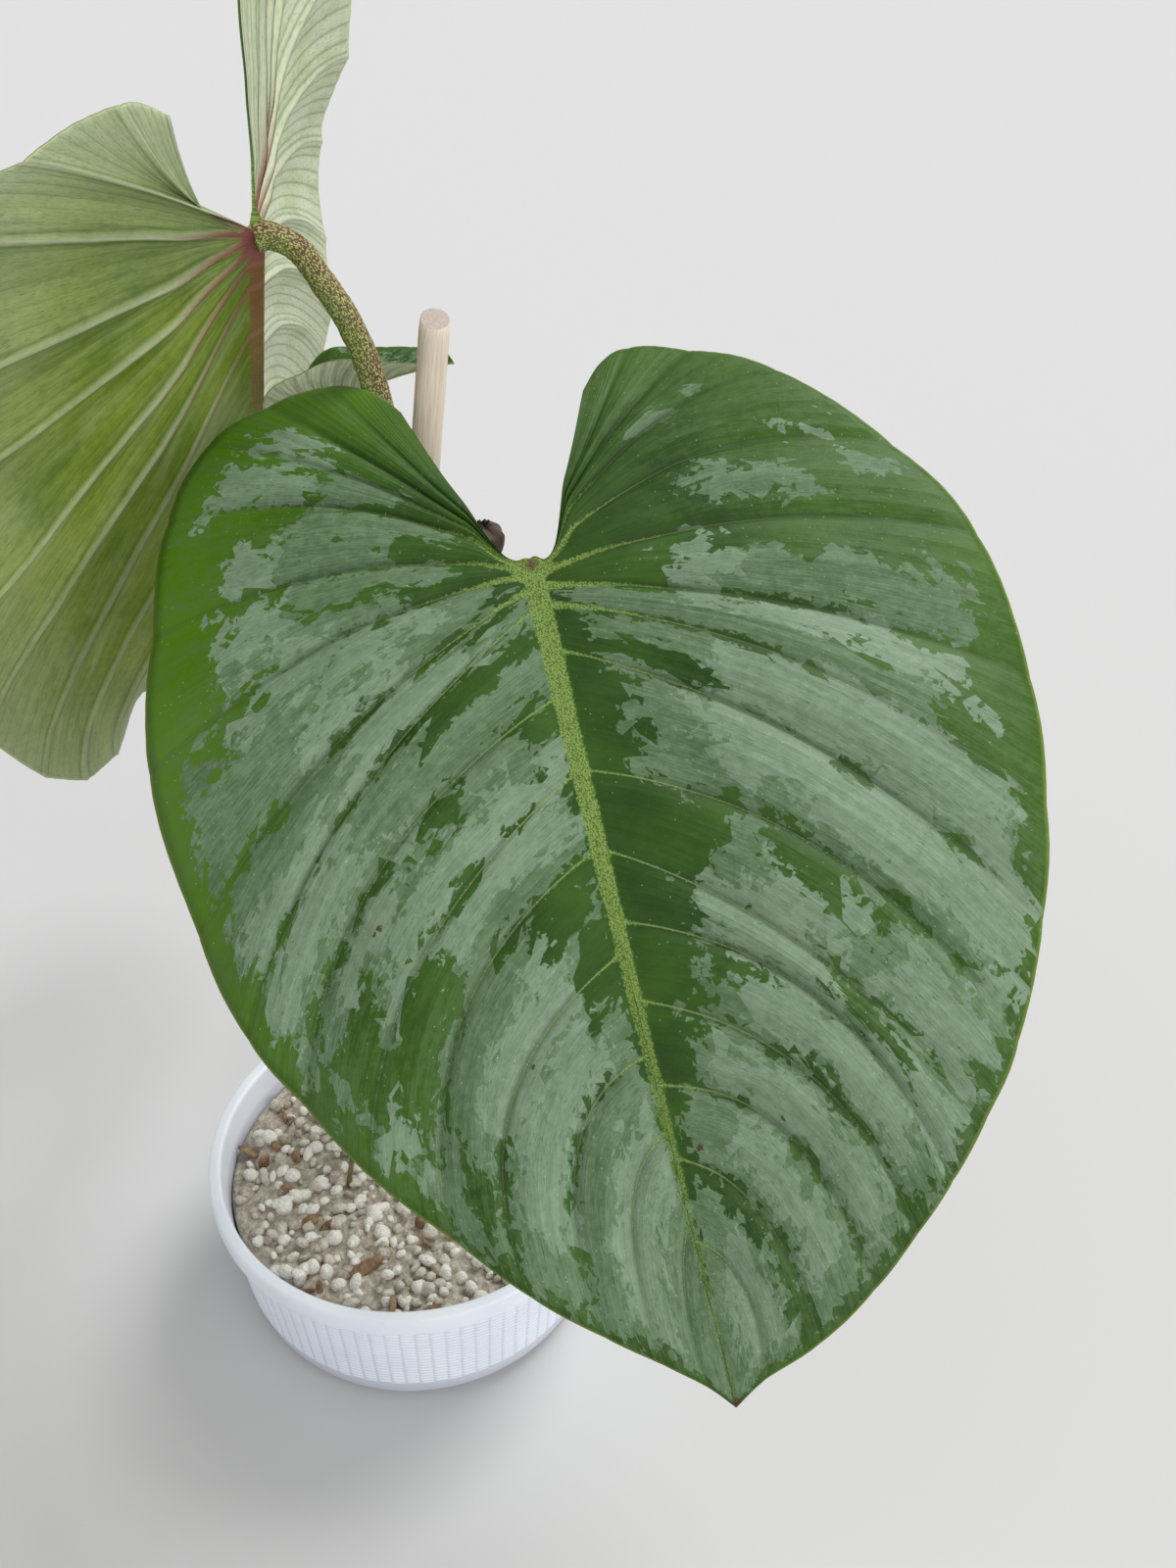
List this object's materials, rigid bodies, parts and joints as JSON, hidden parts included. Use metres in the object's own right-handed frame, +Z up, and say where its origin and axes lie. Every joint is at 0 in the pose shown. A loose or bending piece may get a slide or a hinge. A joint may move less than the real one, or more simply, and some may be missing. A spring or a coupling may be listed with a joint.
{
  "type": "potted philodendron sodiroi",
  "caption": "Climbing house plant with large heart-shaped, silver-marked leaves on arched warty stalks, beside a wooden stake in a shallow pale pot with a woven-look wall.",
  "frame": {"origin": "centre of the pot's base, on the surface that it stands on", "axes": "+Z up; +X to the right and +Y away from the viewer as in the picture, so that -Y is the side the front leaf faces"},
  "size_m": [0.2761, 0.3595, 0.3941],
  "materials": {
    "pot": "satin, woven-look relief",
    "potting_mix": "loose, chunky",
    "stem": "matt, ringed",
    "stake": "plain, unsealed",
    "stalk": "warty, speckled",
    "leaf_front": "satin, silver-marked",
    "leaf_left": "satin, pale veins",
    "leaf_back": "satin",
    "cataphyll": "dry, wrinkled"
  },
  "bodies": {
    "root": {"pot": "pot", "potting_mix": "potting_mix", "stem": "stem", "stake": "stake", "petiole_front": "stalk", "leaf_front": "leaf_front", "petiole_left": "stalk", "leaf_left": "leaf_left", "petiole_back": "stalk", "leaf_back": "leaf_back", "cataphyll": "cataphyll"}
  },
  "joints": []
}
